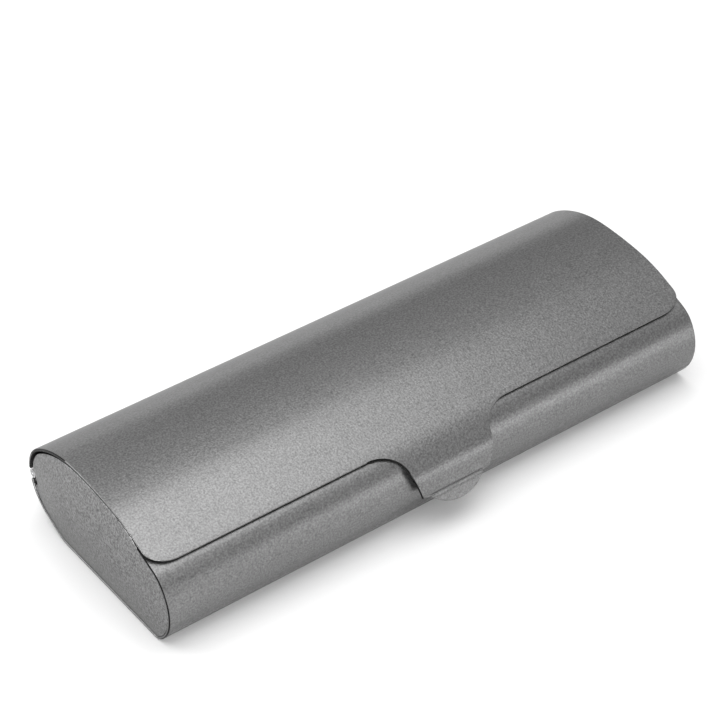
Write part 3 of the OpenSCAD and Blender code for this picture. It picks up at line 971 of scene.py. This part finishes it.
def satin_metal(name, tone, rough, grain=1.0, fleck_scale=2200.0):
    """Satin coated aluminium: a fine metallic fleck over a nearly even grey."""
    mat, tree, shader = nodes_of(name)
    link = tree.links.new
    where = add(tree, "ShaderNodeTexCoord")
    fleck = add(tree, "ShaderNodeTexNoise", Scale=fleck_scale, Detail=2.0, Roughness=0.6)
    grit = add(tree, "ShaderNodeTexVoronoi", Scale=0.85 * fleck_scale)
    cloud = add(tree, "ShaderNodeTexNoise", Scale=60.0, Detail=3.0, Roughness=0.55)
    for tex in (fleck, grit, cloud):
        link(where.outputs["Object"], tex.inputs["Vector"])
    ramp = add(tree, "ShaderNodeValToRGB")
    ramp.color_ramp.elements[0].position = 0.30
    ramp.color_ramp.elements[0].color = [tone * (1 - 0.30 * grain)] * 3 + [1]
    ramp.color_ramp.elements[1].position = 0.70
    ramp.color_ramp.elements[1].color = [tone * (1 + 0.32 * grain)] * 3 + [1]
    link(fleck.outputs["Fac"], ramp.inputs["Fac"])
    shade = add(tree, "ShaderNodeMapRange")
    shade.inputs["To Min"].default_value = 0.94
    shade.inputs["To Max"].default_value = 1.06
    link(cloud.outputs["Fac"], shade.inputs["Value"])
    tint = add(tree, "ShaderNodeMix", data_type="RGBA", blend_type="MULTIPLY")
    tint.inputs[0].default_value = 1.0
    link(ramp.outputs["Color"], tint.inputs[6])
    link(shade.outputs["Result"], tint.inputs[7])
    link(tint.outputs[2], shader.inputs["Base Color"])
    gloss = add(tree, "ShaderNodeMapRange")
    gloss.inputs["To Min"].default_value = rough - 0.06
    gloss.inputs["To Max"].default_value = rough + 0.08
    link(fleck.outputs["Fac"], gloss.inputs["Value"])
    link(gloss.outputs["Result"], shader.inputs["Roughness"])
    bump = add(tree, "ShaderNodeBump")
    bump.inputs["Strength"].default_value = 0.34 * grain
    bump.inputs["Distance"].default_value = 0.00006
    link(grit.outputs["Distance"], bump.inputs["Height"])
    link(bump.outputs["Normal"], shader.inputs["Normal"])
    shader.inputs["Metallic"].default_value = 0.95
    shader.inputs["Specular Tint"].default_value = (0.75, 0.75, 0.75, 1)
    return mat


def flock(name):
    """Black flock: a dense matt pile, faintly brushed in places, with a soft sheen."""
    mat, tree, shader = nodes_of(name)
    link = tree.links.new
    where = add(tree, "ShaderNodeTexCoord")
    pile = add(tree, "ShaderNodeTexNoise", Scale=3200.0, Detail=2.0, Roughness=0.7)
    brushed = add(tree, "ShaderNodeTexNoise", Scale=90.0, Detail=3.0, Roughness=0.6, Distortion=0.8)
    for tex in (pile, brushed):
        link(where.outputs["Object"], tex.inputs["Vector"])
    both = add(tree, "ShaderNodeMath", operation="MULTIPLY")
    link(pile.outputs["Fac"], both.inputs[0])
    link(brushed.outputs["Fac"], both.inputs[1])
    ramp = add(tree, "ShaderNodeValToRGB")
    ramp.color_ramp.elements[0].position = 0.12
    ramp.color_ramp.elements[0].color = (0.0035, 0.0035, 0.0038, 1)
    ramp.color_ramp.elements[1].position = 0.45
    ramp.color_ramp.elements[1].color = (0.016, 0.016, 0.017, 1)
    link(both.outputs[0], ramp.inputs["Fac"])
    link(ramp.outputs["Color"], shader.inputs["Base Color"])
    bump = add(tree, "ShaderNodeBump")
    bump.inputs["Strength"].default_value = 0.5
    bump.inputs["Distance"].default_value = 0.00012
    link(pile.outputs["Fac"], bump.inputs["Height"])
    link(bump.outputs["Normal"], shader.inputs["Normal"])
    shader.inputs["Roughness"].default_value = 0.95
    shader.inputs["Specular IOR Level"].default_value = 0.12
    shader.inputs["Sheen Weight"].default_value = 0.12
    shader.inputs["Sheen Roughness"].default_value = 0.4
    shader.inputs["Sheen Tint"].default_value = (0.5, 0.5, 0.52, 1)
    return mat


def drawn_steel(name):
    """Bright steel with fine lines drawn along X."""
    mat, tree, shader = nodes_of(name)
    link = tree.links.new
    where = add(tree, "ShaderNodeTexCoord")
    stretch = add(tree, "ShaderNodeMapping")
    stretch.inputs["Scale"].default_value = (60, 2600, 2600)
    lines = add(tree, "ShaderNodeTexNoise", Scale=1.0, Detail=3.0, Roughness=0.6)
    stains = add(tree, "ShaderNodeTexNoise", Scale=180.0, Detail=2.0, Roughness=0.5)
    link(where.outputs["Object"], stretch.inputs["Vector"])
    link(stretch.outputs["Vector"], lines.inputs["Vector"])
    link(where.outputs["Object"], stains.inputs["Vector"])
    ramp = add(tree, "ShaderNodeValToRGB")
    ramp.color_ramp.elements[0].position = 0.3
    ramp.color_ramp.elements[0].color = (0.26, 0.26, 0.265, 1)
    ramp.color_ramp.elements[1].position = 0.7
    ramp.color_ramp.elements[1].color = (0.46, 0.46, 0.465, 1)
    link(lines.outputs["Fac"], ramp.inputs["Fac"])
    link(ramp.outputs["Color"], shader.inputs["Base Color"])
    gloss = add(tree, "ShaderNodeMapRange")
    gloss.inputs["To Min"].default_value = 0.2
    gloss.inputs["To Max"].default_value = 0.38
    link(stains.outputs["Fac"], gloss.inputs["Value"])
    link(gloss.outputs["Result"], shader.inputs["Roughness"])
    bump = add(tree, "ShaderNodeBump")
    bump.inputs["Strength"].default_value = 0.25
    bump.inputs["Distance"].default_value = 0.00003
    link(lines.outputs["Fac"], bump.inputs["Height"])
    link(bump.outputs["Normal"], shader.inputs["Normal"])
    shader.inputs["Metallic"].default_value = 1.0
    return mat


def dress(obj, *materials):
    """Give an object its materials, in the order of its faces' material numbers."""
    for m in materials:
        obj.data.materials.append(m)


satin = satin_metal("satin_sheet", 0.195, 0.34)
# The caps' grey is a little darker than the sheet's, as painted shade for the shaded lower part of
# each end.
cap_satin = satin_metal("satin_cap", 0.18, 0.34, grain=1.8, fleck_scale=1900.0)
cut = satin_metal("cut_edge", 0.17, 0.34, grain=0.5)
# A near-black copy of the satin: painted shade on the rims and cap edges where the gaps between
# parts fall in shadow.
painted_shade_rim = satin_metal("painted_gap_shade", 0.015, 0.35, grain=0.4)
inner = satin_metal("inner_face", 0.195, 0.36)
velvet = flock("black_flock")
steel = drawn_steel("drawn_steel")
# Sheets and caps take the painted shade as their last material.
for piece in (lid_sheet, body_sheet):
    dress(piece, satin, cut, inner, painted_shade_rim)
for piece in CAP_PIECES:
    dress(piece, cap_satin, painted_shade_rim)
# Flock and steel look the same on the face, the rim and the inside.
for piece in FLOCK_PIECES:
    dress(piece, velvet, velvet, velvet)
for piece in STEEL_PIECES:
    dress(piece, steel, steel, steel)


# ---------------------------------------------------------------- floor, light, camera

FLOOR = 3.0
floor_mesh = bpy.data.meshes.new("floor")
floor_mesh.from_pydata(
    [(-FLOOR, -FLOOR, 0), (FLOOR, -FLOOR, 0), (FLOOR, FLOOR, 0), (-FLOOR, FLOOR, 0)],
    [], [(0, 1, 2, 3)])
floor = bpy.data.objects.new("floor", floor_mesh)
bpy.context.scene.collection.objects.link(floor)
paper, _, shader = nodes_of("floor_white")
shader.inputs["Base Color"].default_value = (0.9, 0.9, 0.9, 1)
shader.inputs["Roughness"].default_value = 0.6
dress(floor, paper)


def softbox(name, place, aim, width, depth, power):
    """Rectangular area light at place, facing aim. Sizes in metres, power in watts."""
    lamp = bpy.data.lights.new(name, "AREA")
    lamp.shape = "RECTANGLE"
    lamp.size, lamp.size_y = width, depth
    lamp.energy = power
    obj = bpy.data.objects.new(name, lamp)
    bpy.context.scene.collection.objects.link(obj)
    obj.location = place
    obj.rotation_euler = (Vector(aim) - Vector(place)).to_track_quat("-Z", "Y").to_euler()


softbox("overhead", (0.0, 0.0, 1.2), (0, 0, 0), 1.2, 1.2, 7.8)
softbox("key", (0.11, 0.01, 0.45), (0, 0, 0), 0.34, 0.26, 0.23)
softbox("left", (-0.8, 0.1, 0.08), (-0.08, 0, 0.015), 0.35, 0.14, 2.0)
softbox("rear_right", (0.45, 0.85, 0.13), (0, 0, 0.02), 0.5, 0.2, 0.4)
softbox("rear_left", (-0.5, 0.5, 0.3), (0, 0, 0), 0.35, 0.35, 1.8)
softbox("rear", (0.0, 0.7, 0.5), (0, 0, 0), 0.35, 0.35, 0.4)
softbox("front_right", (0.48, -0.79, 0.08), (0.02, 0, 0.01), 0.3, 0.14, 0.5)
softbox("front", (0.0, -0.6, 0.7), (0, 0, 0), 0.6, 0.6, 0.9)
softbox("front_left", (-0.5, -0.8, 0.12), (0, 0, 0.02), 0.4, 0.25, 6.0)

world = bpy.data.worlds.new("studio")
world.use_nodes = True
world.node_tree.nodes["Background"].inputs["Color"].default_value = (1, 1, 1, 1)
world.node_tree.nodes["Background"].inputs["Strength"].default_value = 0.57
bpy.context.scene.world = world
bpy.context.scene.view_settings.view_transform = "Standard"

# The camera looks along -back at the case's left front corner. Its place is in millimetres.
DISTANCE, ASIDE, RAISED = 567.42, -5.841, 22.989
azimuth, elevation = math.radians(-37.223), math.radians(38.507)
level = math.cos(elevation)
back = Vector((math.sin(azimuth) * level, -math.cos(azimuth) * level, math.sin(elevation)))
right = Vector((math.cos(azimuth), math.sin(azimuth), 0))
up = back.cross(right)
camera = bpy.data.objects.new("camera", bpy.data.cameras.new("camera"))
camera.data.sensor_width = 36.0
camera.data.lens = 114.612
camera.data.clip_start = 0.01
turn = Matrix((right, up, back)).transposed().to_4x4()
place = (back * DISTANCE + right * ASIDE + up * RAISED) * MM
camera.matrix_world = Matrix.Translation(place) @ turn
bpy.context.scene.collection.objects.link(camera)
bpy.context.scene.camera = camera
